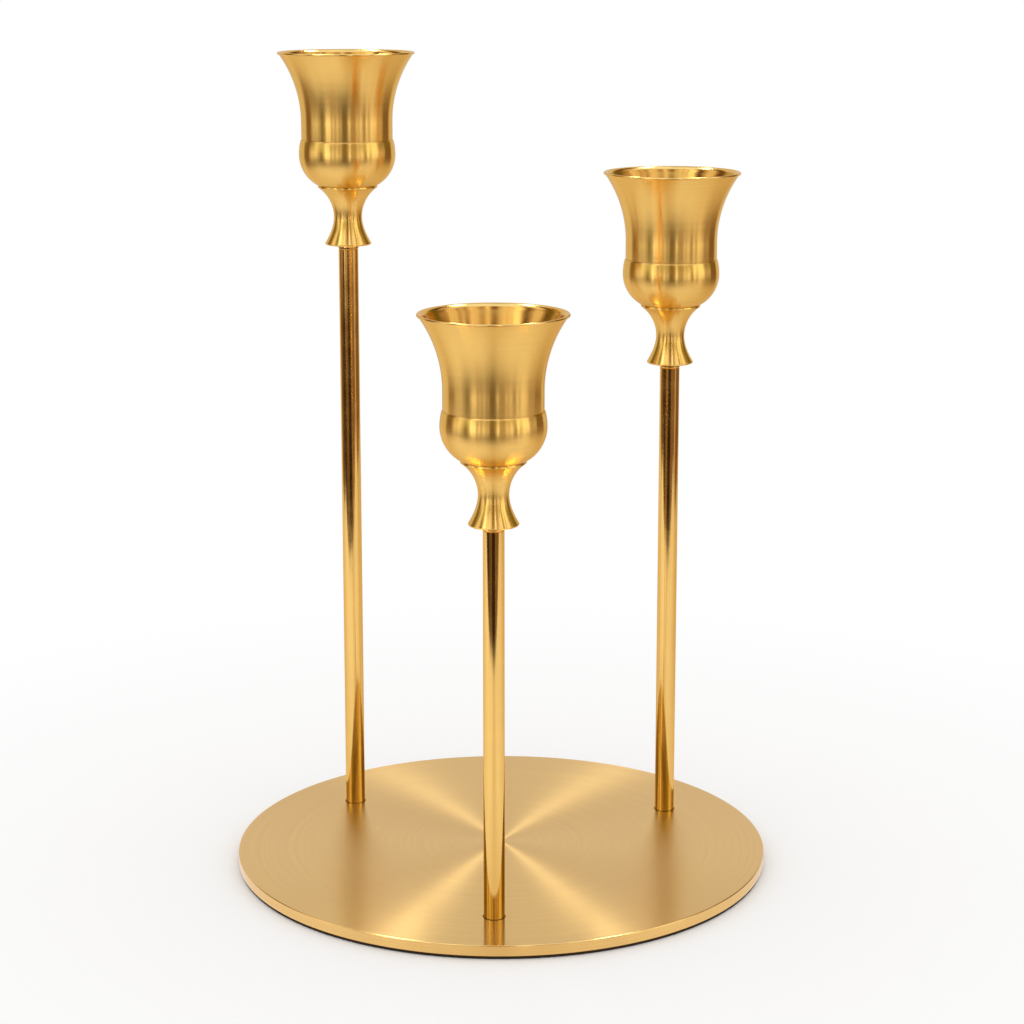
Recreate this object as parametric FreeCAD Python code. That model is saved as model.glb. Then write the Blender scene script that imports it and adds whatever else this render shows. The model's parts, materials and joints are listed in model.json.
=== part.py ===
import FreeCAD, Part
import math
import os

# A candle stand: three cups of one shape on rods of three lengths, standing on a round brushed plate.
# Millimetres, +Z up. The origin is on the table, under the middle of the plate.

# Base plate and the pad under it
plate_diameter = 160.0
plate_thickness = 3.2
plate_edge_bevel = 0.3
pad_thickness = 1.0
pad_inset = 0.3

# Arms: how far out they stand, where each one is on the plate, and how long its rod is
arm_circle_diameter = 118.4
arm_angles = {"left": 142.5, "right": 29.2, "front": 268.4}
rod_lengths = {"left": 178.6, "right": 143.0, "front": 112.8}

# Rods
rod_diameter = 6.0
rod_end_chamfer = 0.2
rod_seat_depth = 0.6
rod_seat_clearance = 0.3

# Screw threads are plain cylinders of their outer diameter, and tapped holes clear them by this much all round
thread_diameter = 4.0
thread_clearance = 0.05
thread_end_chamfer = 0.5
thread_tip_gap = 0.8

# Countersunk screws that hold the rods from under the plate
base_screw_length = 10.0
base_screw_head_diameter = 7.6
base_screw_head_edge = 0.2
base_screw_head_sink = 0.2
base_screw_hole_clearance = 0.2
base_screw_access = 1.2

# Hex sockets: width across the flats and depth
screw_socket_width = 2.5
screw_socket_depth = 1.3
stud_socket_width = 2.0
stud_socket_depth = 2.0

# Studs that the cups screw down onto, and the collar between rod and cup
stud_length = 16.0
stud_in_cup = 7.0
collar_height = 1.3
collar_overhang = 0.1
collar_bore_clearance = 0.1
collar_edge_round = 0.25

# Neck of a cup, from its foot to the joint under the bulb
neck_height = 18.1
neck_foot_radius = 7.05
neck_foot_edge = 0.5
neck_waist_radius = 4.3
neck_waist_height = 8.5
neck_foot_ease = 0.43
neck_top_radius = 9.1
joint_groove = 0.2

# Bulb of a cup, which holds the candle
socket_diameter = 22.5
socket_mouth_chamfer = 0.5
bulb_height = 14.0
bulb_widest_height = 9.5
bulb_bulge = 0.68
bulb_shoulder_ledge = 0.12
bulb_shoulder_edge = 0.1
bulb_floor = 5.2
spigot_height = 3.0
spigot_wall = 1.55
spigot_clearance = 0.05

# Flare of a cup, spun from sheet, with a rounded lip
flare_height = 26.4
flare_wall = 1.05
flare_straight = 5.4
flare_spread = 6.9
lip_overhang = 0.5
lip_thickness = 0.75
lip_depth = 1.3

# Button head screw and washer that hold bulb and neck together
cup_screw_length = 8.0
cup_screw_head_diameter = 7.6
cup_screw_head_height = 2.2
cup_screw_head_edge = 0.4
cup_screw_head_sink = 0.2
cup_screw_hole_clearance = 0.2
washer_diameter = 9.0
washer_thickness = 0.8
washer_bore_clearance = 0.15
washer_clearance = 0.3

# Heights on the base
plate_bottom = pad_thickness
plate_top = plate_bottom + plate_thickness
rod_seat_level = plate_top - rod_seat_depth

# Radii that several pieces share
plate_radius = plate_diameter / 2
rod_radius = rod_diameter / 2
thread_radius = thread_diameter / 2
tapped_radius = thread_radius + thread_clearance
base_screw_head_radius = base_screw_head_diameter / 2
base_screw_hole_radius = thread_radius + base_screw_hole_clearance
stud_in_rod = stud_length - stud_in_cup - collar_height
socket_radius = socket_diameter / 2
spigot_radius = socket_radius + spigot_wall
throat_bore_radius = spigot_radius + spigot_clearance
throat_radius = throat_bore_radius + flare_wall
shoulder_radius = throat_radius + bulb_shoulder_ledge
recess_radius = washer_diameter / 2 + washer_clearance
recess_depth = washer_thickness + cup_screw_head_height + cup_screw_head_sink


def unit(point, centre):
    """The direction from centre to point."""
    span = math.dist(point, centre)
    return (point[0] - centre[0]) / span, (point[1] - centre[1]) / span


class Outline:
    """Half of a turned piece's section, drawn edge by edge as (radius, height)."""

    def __init__(self, start):
        self.points = [start]
        self.curves = []

    def draw(self, curve, end):
        self.curves.append(curve)
        self.points.append(end)

    def line(self, *ends):
        """Straight edges to each end in turn."""
        for end in ends:
            self.draw(Part.LineSegment(upright(self.points[-1]), upright(end)), end)

    def arc(self, middle, end):
        """An arc through middle to end."""
        self.draw(Part.Arc(upright(self.points[-1]), upright(middle), upright(end)), end)

    def arc_about(self, centre, end):
        """An arc of less than half a turn about centre to end."""
        start = self.points[-1]
        radius = math.dist(start, centre)
        from_start = unit(start, centre)
        from_end = unit(end, centre)
        across = unit((from_start[0] + from_end[0], from_start[1] + from_end[1]), (0, 0))
        self.arc((centre[0] + radius * across[0], centre[1] + radius * across[1]), end)

    def bend(self, corner, end):
        """A smooth curve to end that leaves and arrives pointing at corner."""
        curve = Part.BezierCurve()
        curve.setPoles([upright(self.points[-1]), upright(corner), upright(end)])
        self.draw(curve, end)

    def turned(self, axis):
        """The solid that the closed outline makes, turned about the vertical line at axis."""
        self.line(self.points[0])
        edges = [curve.toShape() for curve in self.curves]
        face = Part.Face(Part.Wire(edges))
        face.translate(axis)
        return face.revolve(axis, FreeCAD.Vector(0, 0, 1), 360)


def upright(point):
    """A point of an outline, in the plane that it is drawn in."""
    return FreeCAD.Vector(point[0], 0, point[1])


def centre_upright_at(tangent, other):
    """The centre of the arc through both points that stands upright at the first."""
    run = other[0] - tangent[0]
    rise = other[1] - tangent[1]
    return tangent[0] + (run**2 + rise**2) / (2 * run), tangent[1]


def centre_level_at(tangent, other):
    """The centre of the arc through both points that lies level at the first."""
    run = other[0] - tangent[0]
    rise = other[1] - tangent[1]
    return tangent[0], tangent[1] + (run**2 + rise**2) / (2 * rise)


def cylinder(radius, bottom, top, axis):
    """A plain cylinder, for the shafts of screws and for cutting holes."""
    return Part.makeCylinder(radius, top - bottom, axis + FreeCAD.Vector(0, 0, bottom))


def hex_prism(width, bottom, top, axis):
    """A hexagonal prism of that width across its flats, for cutting key sockets."""
    corner = width / math.sqrt(3)
    turns = [math.radians(60 * side) for side in range(7)]
    rim = [axis + FreeCAD.Vector(corner * math.cos(t), corner * math.sin(t), bottom) for t in turns]
    return Part.Face(Part.makePolygon(rim)).extrude(FreeCAD.Vector(0, 0, top - bottom))


def countersunk_cone(edge_radius, edge_top, axis):
    """A right-angled cone that narrows upwards from edge_radius at edge_top to the thread's radius."""
    cone = Outline((0, edge_top))
    cone.line((edge_radius, edge_top))
    cone.line((thread_radius, edge_top + edge_radius - thread_radius))
    cone.line((0, edge_top + edge_radius - thread_radius))
    return cone.turned(axis)


def base_plate(axes):
    """The round plate, with a seat, a hole and a countersink for each rod."""
    disc = Outline((0, plate_bottom))
    disc.line((plate_radius - plate_edge_bevel, plate_bottom))
    disc.line((plate_radius, plate_bottom + plate_edge_bevel))
    disc.line((plate_radius, plate_top - plate_edge_bevel))
    disc.line((plate_radius - plate_edge_bevel, plate_top), (0, plate_top))
    plate = disc.turned(FreeCAD.Vector())
    head_edge = base_screw_head_radius + base_screw_hole_clearance
    cone_start = plate_bottom + base_screw_head_sink + base_screw_head_edge
    for axis in axes:
        plate = plate.cut(cylinder(rod_radius + rod_seat_clearance, rod_seat_level, plate_top, axis))
        plate = plate.cut(cylinder(base_screw_hole_radius, plate_bottom, plate_top, axis))
        plate = plate.cut(cylinder(head_edge, plate_bottom, cone_start, axis))
        plate = plate.cut(countersunk_cone(head_edge, cone_start, axis))
    return plate


def base_pad(axes):
    """The soft disc glued under the plate, holed below each screw."""
    pad = cylinder(plate_radius - pad_inset, 0, plate_bottom, FreeCAD.Vector())
    for axis in axes:
        pad = pad.cut(cylinder(base_screw_head_radius + base_screw_access, 0, plate_bottom, axis))
    return pad


def base_screw(axis):
    """A countersunk screw that draws one rod down into its seat."""
    head_level = plate_bottom + base_screw_head_sink
    cone_start = head_level + base_screw_head_edge
    cone_end = cone_start + base_screw_head_radius - thread_radius
    tip = head_level + base_screw_length
    screw = Outline((0, head_level))
    screw.line((base_screw_head_radius, head_level), (base_screw_head_radius, cone_start))
    screw.line((thread_radius, cone_end), (thread_radius, tip - thread_end_chamfer))
    screw.line((thread_radius - thread_end_chamfer, tip), (0, tip))
    key = hex_prism(screw_socket_width, head_level, head_level + screw_socket_depth, axis)
    return screw.turned(axis).cut(key)


def rod(length, axis):
    """A polished rod, tapped at its foot for the base screw and at its top for the stud."""
    bottom = rod_seat_level
    top = bottom + length
    screw_tip = plate_bottom + base_screw_head_sink + base_screw_length
    stick = Outline((0, bottom))
    stick.line((rod_radius - rod_end_chamfer, bottom), (rod_radius, bottom + rod_end_chamfer))
    stick.line((rod_radius, top - rod_end_chamfer), (rod_radius - rod_end_chamfer, top), (0, top))
    foot_hole = cylinder(tapped_radius, bottom, screw_tip + thread_tip_gap, axis)
    top_hole = cylinder(tapped_radius, top - stud_in_rod - thread_tip_gap, top, axis)
    return stick.turned(axis).cut(foot_hole).cut(top_hole)


def stud(rod_top, axis):
    """A headless screw, fast in the rod's top, that a cup turns down onto."""
    bottom = rod_top - stud_in_rod
    top = bottom + stud_length
    thin = thread_radius - thread_end_chamfer
    shaft = Outline((0, bottom))
    shaft.line((thin, bottom), (thread_radius, bottom + thread_end_chamfer))
    shaft.line((thread_radius, top - thread_end_chamfer), (thin, top), (0, top))
    return shaft.turned(axis).cut(hex_prism(stud_socket_width, top - stud_socket_depth, top, axis))


def collar(rod_top, axis):
    """A thin ring on the stud, which the cup's foot closes onto."""
    inner = thread_radius + collar_bore_clearance
    outer = rod_radius + collar_overhang
    top = rod_top + collar_height
    flat = outer - collar_edge_round
    ring = Outline((inner, rod_top))
    ring.line((flat, rod_top))
    ring.arc_about((flat, rod_top + collar_edge_round), (outer, rod_top + collar_edge_round))
    ring.line((outer, top - collar_edge_round))
    ring.arc_about((flat, top - collar_edge_round), (flat, top))
    ring.line((inner, top))
    return ring.turned(axis)


def neck(foot, axis):
    """The waisted stem of a cup, tapped right through for the stud below and the cup screw above."""
    top = foot + neck_height
    waist = (neck_waist_radius, foot + neck_waist_height)
    foot_edge = (neck_foot_radius, foot + neck_foot_edge)
    top_edge = (neck_top_radius, top - joint_groove)
    spool = Outline((tapped_radius, foot))
    spool.line((neck_foot_radius - neck_foot_edge, foot))
    spool.arc_about((neck_foot_radius - neck_foot_edge, foot_edge[1]), foot_edge)
    ease = waist[1] - neck_foot_ease * (waist[1] - foot_edge[1])
    spool.bend((neck_waist_radius, ease), waist)
    spool.arc_about(centre_upright_at(waist, top_edge), top_edge)
    spool.line((neck_top_radius - joint_groove, top), (tapped_radius, top))
    return spool.turned(axis)


def bulb(foot, axis):
    """The round body of a cup: candle socket, screw recess in its floor, and a spigot for the flare."""
    shoulder = foot + bulb_height
    floor = foot + bulb_floor
    spigot_top = shoulder + spigot_height
    widest = (shoulder_radius + bulb_bulge, foot + bulb_widest_height)
    bottom_edge = (neck_top_radius, foot + joint_groove)
    shoulder_edge = (shoulder_radius, shoulder - bulb_shoulder_edge)
    screw_hole = thread_radius + cup_screw_hole_clearance
    body = Outline((screw_hole, foot))
    body.line((neck_top_radius - joint_groove, foot), bottom_edge)
    body.arc_about(centre_upright_at(widest, bottom_edge), widest)
    body.arc_about(centre_upright_at(widest, shoulder_edge), shoulder_edge)
    body.line((shoulder_radius - bulb_shoulder_edge, shoulder), (spigot_radius, shoulder))
    body.line((spigot_radius, spigot_top), (socket_radius + socket_mouth_chamfer, spigot_top))
    body.line((socket_radius, spigot_top - socket_mouth_chamfer), (socket_radius, floor))
    body.line((recess_radius, floor), (recess_radius, floor - recess_depth))
    body.line((screw_hole, floor - recess_depth))
    return body.turned(axis)


def flare(shoulder, axis):
    """The thin spun wall above the bulb, which opens out to a rounded lip."""
    rim = shoulder + flare_height
    rim_radius = throat_radius + flare_spread
    throat = (throat_radius, shoulder + flare_straight)
    throat_bore = (throat_bore_radius, throat[1])
    wall_end = (rim_radius - lip_overhang, rim - lip_thickness)
    lip_edge = rim_radius - lip_thickness / 2
    bell = centre_upright_at(throat, wall_end)
    inner_reach = bell[0] - throat_bore_radius
    crease_level = rim - lip_depth
    crease = (bell[0] - math.sqrt(inner_reach**2 - (crease_level - bell[1]) ** 2), crease_level)
    wall = Outline((throat_bore_radius, shoulder))
    wall.line((throat_radius, shoulder), throat)
    wall.arc_about(bell, wall_end)
    wall.line((lip_edge, rim - lip_thickness))
    wall.arc((rim_radius, rim - lip_thickness / 2), (lip_edge, rim))
    wall.arc_about(centre_level_at((lip_edge, rim), crease), crease)
    wall.arc_about(bell, throat_bore)
    return wall.turned(axis)


def cup_washer(seat, axis):
    """The flat washer in the bulb's recess."""
    ring = cylinder(washer_diameter / 2, seat, seat + washer_thickness, axis)
    return ring.cut(cylinder(thread_radius + washer_bore_clearance, seat, seat + washer_thickness, axis))


def cup_screw(seat, axis):
    """A button head screw, standing on its washer, that draws the bulb down onto the neck."""
    crown = seat + cup_screw_head_height
    tip = seat - cup_screw_length
    head_radius = cup_screw_head_diameter / 2
    head_edge = (head_radius, seat + cup_screw_head_edge)
    crown_flat = (screw_socket_width / math.sqrt(3), crown)
    screw = Outline((0, tip))
    screw.line((thread_radius - thread_end_chamfer, tip), (thread_radius, tip + thread_end_chamfer))
    screw.line((thread_radius, seat), (head_radius, seat), head_edge)
    screw.arc_about(centre_level_at(crown_flat, head_edge), crown_flat)
    screw.line((0, crown))
    return screw.turned(axis).cut(hex_prism(screw_socket_width, crown - screw_socket_depth, crown, axis))


def arm_axis(angle):
    """The point on the plate's circle of arms at that angle from +X."""
    reach = arm_circle_diameter / 2
    turn = math.radians(angle)
    return FreeCAD.Vector(reach * math.cos(turn), reach * math.sin(turn), 0)


def export(name, shape):
    """Writes one piece under its own name and says what it is."""
    shape.exportStep("parts/" + name + ".step")
    print(name, len(shape.Solids), "solids", round(shape.Volume, 2), "mm3", shape.isValid())


os.makedirs("parts", exist_ok=True)

axes = {arm: arm_axis(angle) for arm, angle in arm_angles.items()}
rod_tops = {arm: rod_seat_level + length for arm, length in rod_lengths.items()}

export("base_plate", base_plate(axes.values()))
export("base_pad", base_pad(axes.values()))
export("base_screws", Part.makeCompound([base_screw(axis) for axis in axes.values()]))
export("rod_studs", Part.makeCompound([stud(rod_tops[arm], axis) for arm, axis in axes.items()]))

for arm, axis in axes.items():
    cup_foot = rod_tops[arm] + collar_height
    bulb_foot = cup_foot + neck_height
    shoulder = bulb_foot + bulb_height
    recess_floor = bulb_foot + bulb_floor - recess_depth
    export(arm + "_rod", rod(rod_lengths[arm], axis))
    export(arm + "_collar", collar(rod_tops[arm], axis))
    export(arm + "_neck", neck(cup_foot, axis))
    export(arm + "_bulb", bulb(bulb_foot, axis))
    export(arm + "_flare", flare(shoulder, axis))
    export(arm + "_cup_washer", cup_washer(recess_floor, axis))
    export(arm + "_cup_screw", cup_screw(recess_floor + washer_thickness, axis))
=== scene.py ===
import bpy
import json
import math
from mathutils import Matrix, Vector


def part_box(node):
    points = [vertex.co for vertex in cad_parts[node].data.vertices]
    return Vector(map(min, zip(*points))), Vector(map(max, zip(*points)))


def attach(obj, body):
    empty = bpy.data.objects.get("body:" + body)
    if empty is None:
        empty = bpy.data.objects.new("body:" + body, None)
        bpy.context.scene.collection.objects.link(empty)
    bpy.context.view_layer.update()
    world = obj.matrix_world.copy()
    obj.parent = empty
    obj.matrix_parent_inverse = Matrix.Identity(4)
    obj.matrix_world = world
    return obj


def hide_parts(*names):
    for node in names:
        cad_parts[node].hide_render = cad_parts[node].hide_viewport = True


# A candle stand: satin cups on polished rods of three lengths, on a round brushed plate, in a white studio.
# The stand's sizes are written in millimetres and multiplied by MM, because the frame is in metres.
# The studio's sizes are in metres and its directions in degrees.

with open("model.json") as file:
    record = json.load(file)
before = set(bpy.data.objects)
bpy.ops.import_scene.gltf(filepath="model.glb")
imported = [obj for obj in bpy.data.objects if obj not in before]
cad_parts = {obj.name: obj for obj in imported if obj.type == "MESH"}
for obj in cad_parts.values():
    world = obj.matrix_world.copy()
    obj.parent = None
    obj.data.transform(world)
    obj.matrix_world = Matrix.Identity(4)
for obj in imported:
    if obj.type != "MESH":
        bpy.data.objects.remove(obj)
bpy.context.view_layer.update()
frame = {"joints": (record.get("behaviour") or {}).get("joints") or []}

MM = 0.001
ARMS = ("left", "right", "front")
BODY = "stand"
UP = (0.0, 0.0, 1.0)

# Roundness of turned pieces: steps round the axis, and the angle up to which an edge is shaded smooth
FINE_STEPS = 192
ROD_STEPS = 96
SMALL_STEPS = 64
SMOOTH_ANGLE = math.radians(24)

# Points that lie closer than this are welded, and a cutter reaches this far past the face that it cuts
WELD = 0.002 * MM
CUT_PAST = 1.0

# Base
PLATE_EDGE_ROUND = 0.3
PLATE_EDGE_SUPPORT = 0.06
SEAT_DEPTH = 0.6
SEAT_CLEARANCE = 0.3
SCREW_HOLE_RADIUS = 2.2
SCREW_HEAD_RADIUS = 4.0
SCREW_HEAD_EDGE = 0.4
PAD_EDGE_ROUND = 0.6
PAD_HOLE_RADIUS = 5.0

# Rods and collars
ROD_CHAMFER = 0.2
TAPPED_RADIUS = 2.05
COLLAR_ROUND = 0.25
COLLAR_BORE = 2.1

# Screws, studs and washers: a key socket is its width across the flats and its depth
THREAD_RADIUS = 2.0
THREAD_DEPTH = 0.38
THREAD_PITCH = 0.7
THREAD_RINGS = 8
THREAD_CHAMFER = 0.5
STUD_SOCKET = (2.0, 2.0)
SCREW_SOCKET = (2.5, 1.3)
HEAD_RADIUS = 3.8
BUTTON_EDGE = 0.4
BUTTON_HEIGHT = 2.2
COUNTERSUNK_EDGE = 0.2
WASHER_BORE = 2.15
WASHER_EDGE = 0.12

# Neck of a cup: levels are measured up from the cup's foot, and the waist is a radius and a level
NECK_HEIGHT = 18.1
NECK_FOOT_RADIUS = 7.05
NECK_FOOT_EDGE = 0.5
NECK_WAIST = (4.3, 8.5)
NECK_EASE = 0.43
NECK_TOP_RADIUS = 9.05
NECK_RIM = 0.55
NECK_RIM_LEAN = math.radians(9)
NECK_RIM_ROUND = 0.08
NECK_RIM_EDGE = 0.03

# Bulb of a cup, measured up from the joint with the neck: widest place and foot are a radius and a level,
# and the bevel at the shoulder is how far it runs in and up
BULB_HEIGHT = 14.0
BULB_WIDEST = (14.7, 9.5)
BULB_FOOT = (8.99, 0.03)
BULB_SHOULDER = 14.16
BULB_BEVEL = (0.25, 0.31)
BULB_FLOOR = 5.2
RECESS_RADIUS = 4.8
RECESS_DEPTH = 3.2
SOCKET_RADIUS = 11.25
SOCKET_CHAMFER = 0.5
SPIGOT_RADIUS = 12.8
SPIGOT_HEIGHT = 3.0

# Flare of a cup, measured up from the shoulder of the bulb
FLARE_HEIGHT = 26.4
FLARE_BORE = 12.85
FLARE_THROAT = 13.9
FLARE_STRAIGHT = 5.4
FLARE_FOOT_ROUND = 0.15
RIM_RADIUS = 20.8
LIP_OVERHANG = 0.5
LIP_THICKNESS = 0.75
LIP_DEPTH = 1.3

# Material slots of a cup's piece, after its satin outside
INNER_SLOT = 1
LIP_SLOT = 2


# Places that the frame gives

def radius_of(name):
    """The radius of a round, upright node, in millimetres."""
    low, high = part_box(name)
    return (high.x - low.x) / 2 / MM


def levels_of(name, base=0.0):
    """The lowest and the highest level of a node over a base level, in millimetres."""
    low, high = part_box(name)
    return (low.z - base) / MM, (high.z - base) / MM


PLATE_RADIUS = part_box("base_plate")[1].x / MM
PLATE_BOTTOM, PLATE_TOP = levels_of("base_plate")
PAD_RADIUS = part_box("base_pad")[1].x / MM
PAD_TOP = levels_of("base_pad")[1]

turn_places = {joint["name"]: joint["pos_m"] for joint in frame["joints"] if "pos_m" in joint}
arm_axes = {arm: Vector((*turn_places[arm + "_cup_turn"][:2], 0)) for arm in ARMS}
cup_feet = {arm: arm_axes[arm] + Vector((0, 0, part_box(arm + "_neck")[0].z)) for arm in ARMS}


# Outlines

def arc(start, centre, end, steps):
    """Points after start, along the shorter arc about centre to end."""
    radius = math.dist(start, centre)
    from_angle = math.atan2(start[1] - centre[1], start[0] - centre[0])
    to_angle = math.atan2(end[1] - centre[1], end[0] - centre[0])
    sweep = (to_angle - from_angle + math.pi) % (2 * math.pi) - math.pi
    angles = [from_angle + sweep * step / steps for step in range(1, steps + 1)]
    return [(centre[0] + radius * math.cos(a), centre[1] + radius * math.sin(a)) for a in angles]


def bend(start, corner, end, steps):
    """Points after start, along the smooth curve to end that is drawn towards corner."""
    points = []
    for step in range(1, steps + 1):
        t = step / steps
        weights = ((1 - t) ** 2, 2 * t * (1 - t), t**2)
        places = (start, corner, end)
        points.append(tuple(sum(w * p[i] for w, p in zip(weights, places)) for i in (0, 1)))
    return points


def roll(start, normal, end_normal, radius, steps):
    """Points after start, round an edge of that radius, as its outward normal turns to end_normal."""
    centre = (start[0] - radius * math.cos(normal), start[1] - radius * math.sin(normal))
    end = (centre[0] + radius * math.cos(end_normal), centre[1] + radius * math.sin(end_normal))
    return arc(start, centre, end, steps)


def centre_upright_at(tangent, other):
    """The centre of the arc through both points that stands upright at the first."""
    run = other[0] - tangent[0]
    rise = other[1] - tangent[1]
    return tangent[0] + (run**2 + rise**2) / (2 * run), tangent[1]


def centre_level_at(tangent, other):
    """The centre of the arc through both points that lies level at the first."""
    run = other[0] - tangent[0]
    rise = other[1] - tangent[1]
    return tangent[0], tangent[1] + (run**2 + rise**2) / (2 * rise)


def slope(start, end):
    """The angle of the line from start to end, from level."""
    return math.atan2(end[1] - start[1], end[0] - start[0])


def raised(outline, height):
    """The outline moved up by height."""
    return [(radius, level + height) for radius, level in outline]


# Modelling helpers

def deselect():
    """Leaves edit mode and selects nothing."""
    if bpy.context.object and bpy.context.object.mode != "OBJECT":
        bpy.ops.object.mode_set(mode="OBJECT")
    bpy.ops.object.select_all(action="DESELECT")


def activate(piece):
    """Makes a piece the only selected one."""
    deselect()
    piece.select_set(True)
    bpy.context.view_layer.objects.active = piece


def named(piece, name):
    """Gives a piece and its mesh a name."""
    piece.name = name
    piece.data.name = name
    return piece


def turned(name, outline, steps):
    """Draws an outline of radii and levels point by point and spins it about the Z axis, as on a lathe."""
    deselect()
    bpy.ops.mesh.primitive_plane_add(size=MM, location=(0, 0, 0))
    piece = named(bpy.context.object, name)
    bpy.ops.object.mode_set(mode="EDIT")
    bpy.ops.mesh.select_all(action="SELECT")
    bpy.ops.mesh.merge(type="CENTER")
    bpy.ops.transform.translate(value=(outline[0][0] * MM, 0, outline[0][1] * MM))
    for here, there in zip(outline, outline[1:]):
        step = ((there[0] - here[0]) * MM, 0, (there[1] - here[1]) * MM)
        bpy.ops.mesh.extrude_vertices_move(TRANSFORM_OT_translate={"value": step})
    bpy.ops.mesh.select_all(action="SELECT")
    bpy.ops.mesh.spin(steps=steps, angle=2 * math.pi, center=(0, 0, 0), axis=UP)
    bpy.ops.mesh.select_all(action="SELECT")
    bpy.ops.mesh.remove_doubles(threshold=WELD)
    bpy.ops.mesh.normals_make_consistent(inside=False)
    bpy.ops.object.mode_set(mode="OBJECT")
    bpy.ops.object.shade_smooth_by_angle(angle=SMOOTH_ANGLE)
    return piece


def moved(piece, offset):
    """Moves a piece and keeps its place in its mesh."""
    activate(piece)
    bpy.ops.transform.translate(value=offset)
    bpy.ops.object.transform_apply(location=True, rotation=True, scale=True)
    return piece


def copied(piece, name, offset):
    """A copy of a piece with its own mesh, at an offset from the first."""
    activate(piece)
    bpy.ops.object.duplicate()
    return moved(named(bpy.context.object, name), offset)


def joined(pieces, name):
    """Joins pieces into one object under a name."""
    activate(pieces[0])
    for piece in pieces[1:]:
        piece.select_set(True)
    bpy.ops.object.join()
    return named(pieces[0], name)


def removed(piece):
    """Deletes a helper object."""
    activate(piece)
    bpy.ops.object.delete()


def cut(piece, cutter):
    """Cuts the cutter's shape out of a piece, deletes the cutter and welds the edges of the cut."""
    activate(piece)
    hole = piece.modifiers.new("hole", "BOOLEAN")
    hole.operation = "DIFFERENCE"
    hole.solver = "EXACT"
    hole.object = cutter
    bpy.ops.object.modifier_apply(modifier=hole.name)
    removed(cutter)
    activate(piece)
    bpy.ops.object.mode_set(mode="EDIT")
    bpy.ops.mesh.select_all(action="SELECT")
    bpy.ops.mesh.remove_doubles(threshold=WELD)
    bpy.ops.object.mode_set(mode="OBJECT")
    bpy.ops.object.shade_smooth_by_angle(angle=SMOOTH_ANGLE)


def hex_key(width, bottom, top):
    """A hexagonal prism of that width across its flats, for cutting a key socket."""
    deselect()
    bpy.ops.mesh.primitive_cylinder_add(
        vertices=6,
        radius=width / math.sqrt(3) * MM,
        depth=(top - bottom) * MM,
        location=(0, 0, (top + bottom) / 2 * MM),
    )
    bpy.ops.object.transform_apply(location=True, rotation=True, scale=True)
    return bpy.context.object


def fitted(piece, stands_for, body, slot, *finishes):
    """Lets a piece stand for a node of the frame, ride on its body and wear its finishes."""
    for finish in finishes:
        piece.data.materials.append(finish)
    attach(piece, body)
    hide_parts(stands_for)


# Node helpers

def node(tree, kind, *sources, **settings):
    """Adds a node, gives its inputs numbers or links in order, and returns its first output in use."""
    made = tree.nodes.new(kind)
    for name, value in settings.items():
        setattr(made, name, value)
    for socket, source in zip([entry for entry in made.inputs if entry.enabled], sources):
        if isinstance(source, bpy.types.NodeSocket):
            tree.links.new(source, socket)
        else:
            socket.default_value = source
    return next(result for result in made.outputs if result.enabled)


def maths(tree, operation, *sources):
    """A sum with numbers."""
    return node(tree, "ShaderNodeMath", *sources, operation=operation)


def vectors(tree, operation, *sources):
    """A sum with vectors, which gives a vector or a length."""
    return node(tree, "ShaderNodeVectorMath", *sources, operation=operation)


def axes(tree, vector):
    """The X, Y and Z of a vector."""
    split = tree.nodes.new("ShaderNodeSeparateXYZ")
    tree.links.new(vector, split.inputs[0])
    return split.outputs


def ranged(tree, value, given, wanted):
    """A number carried from one range to another, and held at its ends."""
    return node(tree, "ShaderNodeMapRange", value, *given, *wanted)


def mixed(tree, share, first, second):
    """A number between two others."""
    return node(tree, "ShaderNodeMix", share, first, second)


def tinted(tree, share, first, second):
    """A colour between two others."""
    return node(tree, "ShaderNodeMix", share, first, second, data_type="RGBA")


def new_material(name):
    """An empty material, its node tree and its main shader."""
    material = bpy.data.materials.new(name)
    material.use_nodes = True
    tree = material.node_tree
    return material, tree, tree.nodes["Principled BSDF"]


def place_in_frame(tree):
    """Object coordinates, which are the frame's, because every piece sits at the origin."""
    return tree.nodes.new("ShaderNodeTexCoord").outputs["Object"]


def relief(tree, shader, height, strength, depth):
    """Fine bumps on a surface, from the height that a pattern gives."""
    bump = tree.nodes.new("ShaderNodeBump")
    bump.inputs["Strength"].default_value = strength
    bump.inputs["Distance"].default_value = depth
    tree.links.new(height, bump.inputs["Height"])
    tree.links.new(bump.outputs["Normal"], shader.inputs["Normal"])


# Materials

# Colours, and how they are scaled at glancing angles
PLATE_GOLD = (0.86, 0.565, 0.19)
ROD_GOLD = (0.88, 0.565, 0.155)
CUP_GOLD = (0.88, 0.555, 0.14)
# Inside a cup the gold is painted darker than outside: painted shade in the hollow.
SHADED_INNER_GOLD = (0.65, 0.36, 0.07)
LIP_GOLD = (0.88, 0.565, 0.16)
ZINC = (0.52, 0.51, 0.49)
GOLD_EDGE = (0.97, 0.84, 0.6, 1.0)
PLAIN_EDGE = (1.0, 1.0, 1.0, 1.0)

# The levels between which a noise pattern mostly lies
NOISE_LEVELS = (0.3, 0.7)

# Lathe lines: how finely they divide, what they do to the colour, and how deep they are in millimetres
LINE_DETAIL = 3.0
LINE_TINTS = (0.965, 1.03)
LINE_DEPTH = 0.02
GRAIN_LEVELS = (0.25, 0.75)

# Cloudiness of polished metal: its clouds, and what they do to the roughness and the colour
HAZE_SCALE = 180.0
HAZE_DETAIL = 3.0
HAZE_ROUGHNESS = (0.8, 1.25)
HAZE_TINTS = (0.97, 1.02)
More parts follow.
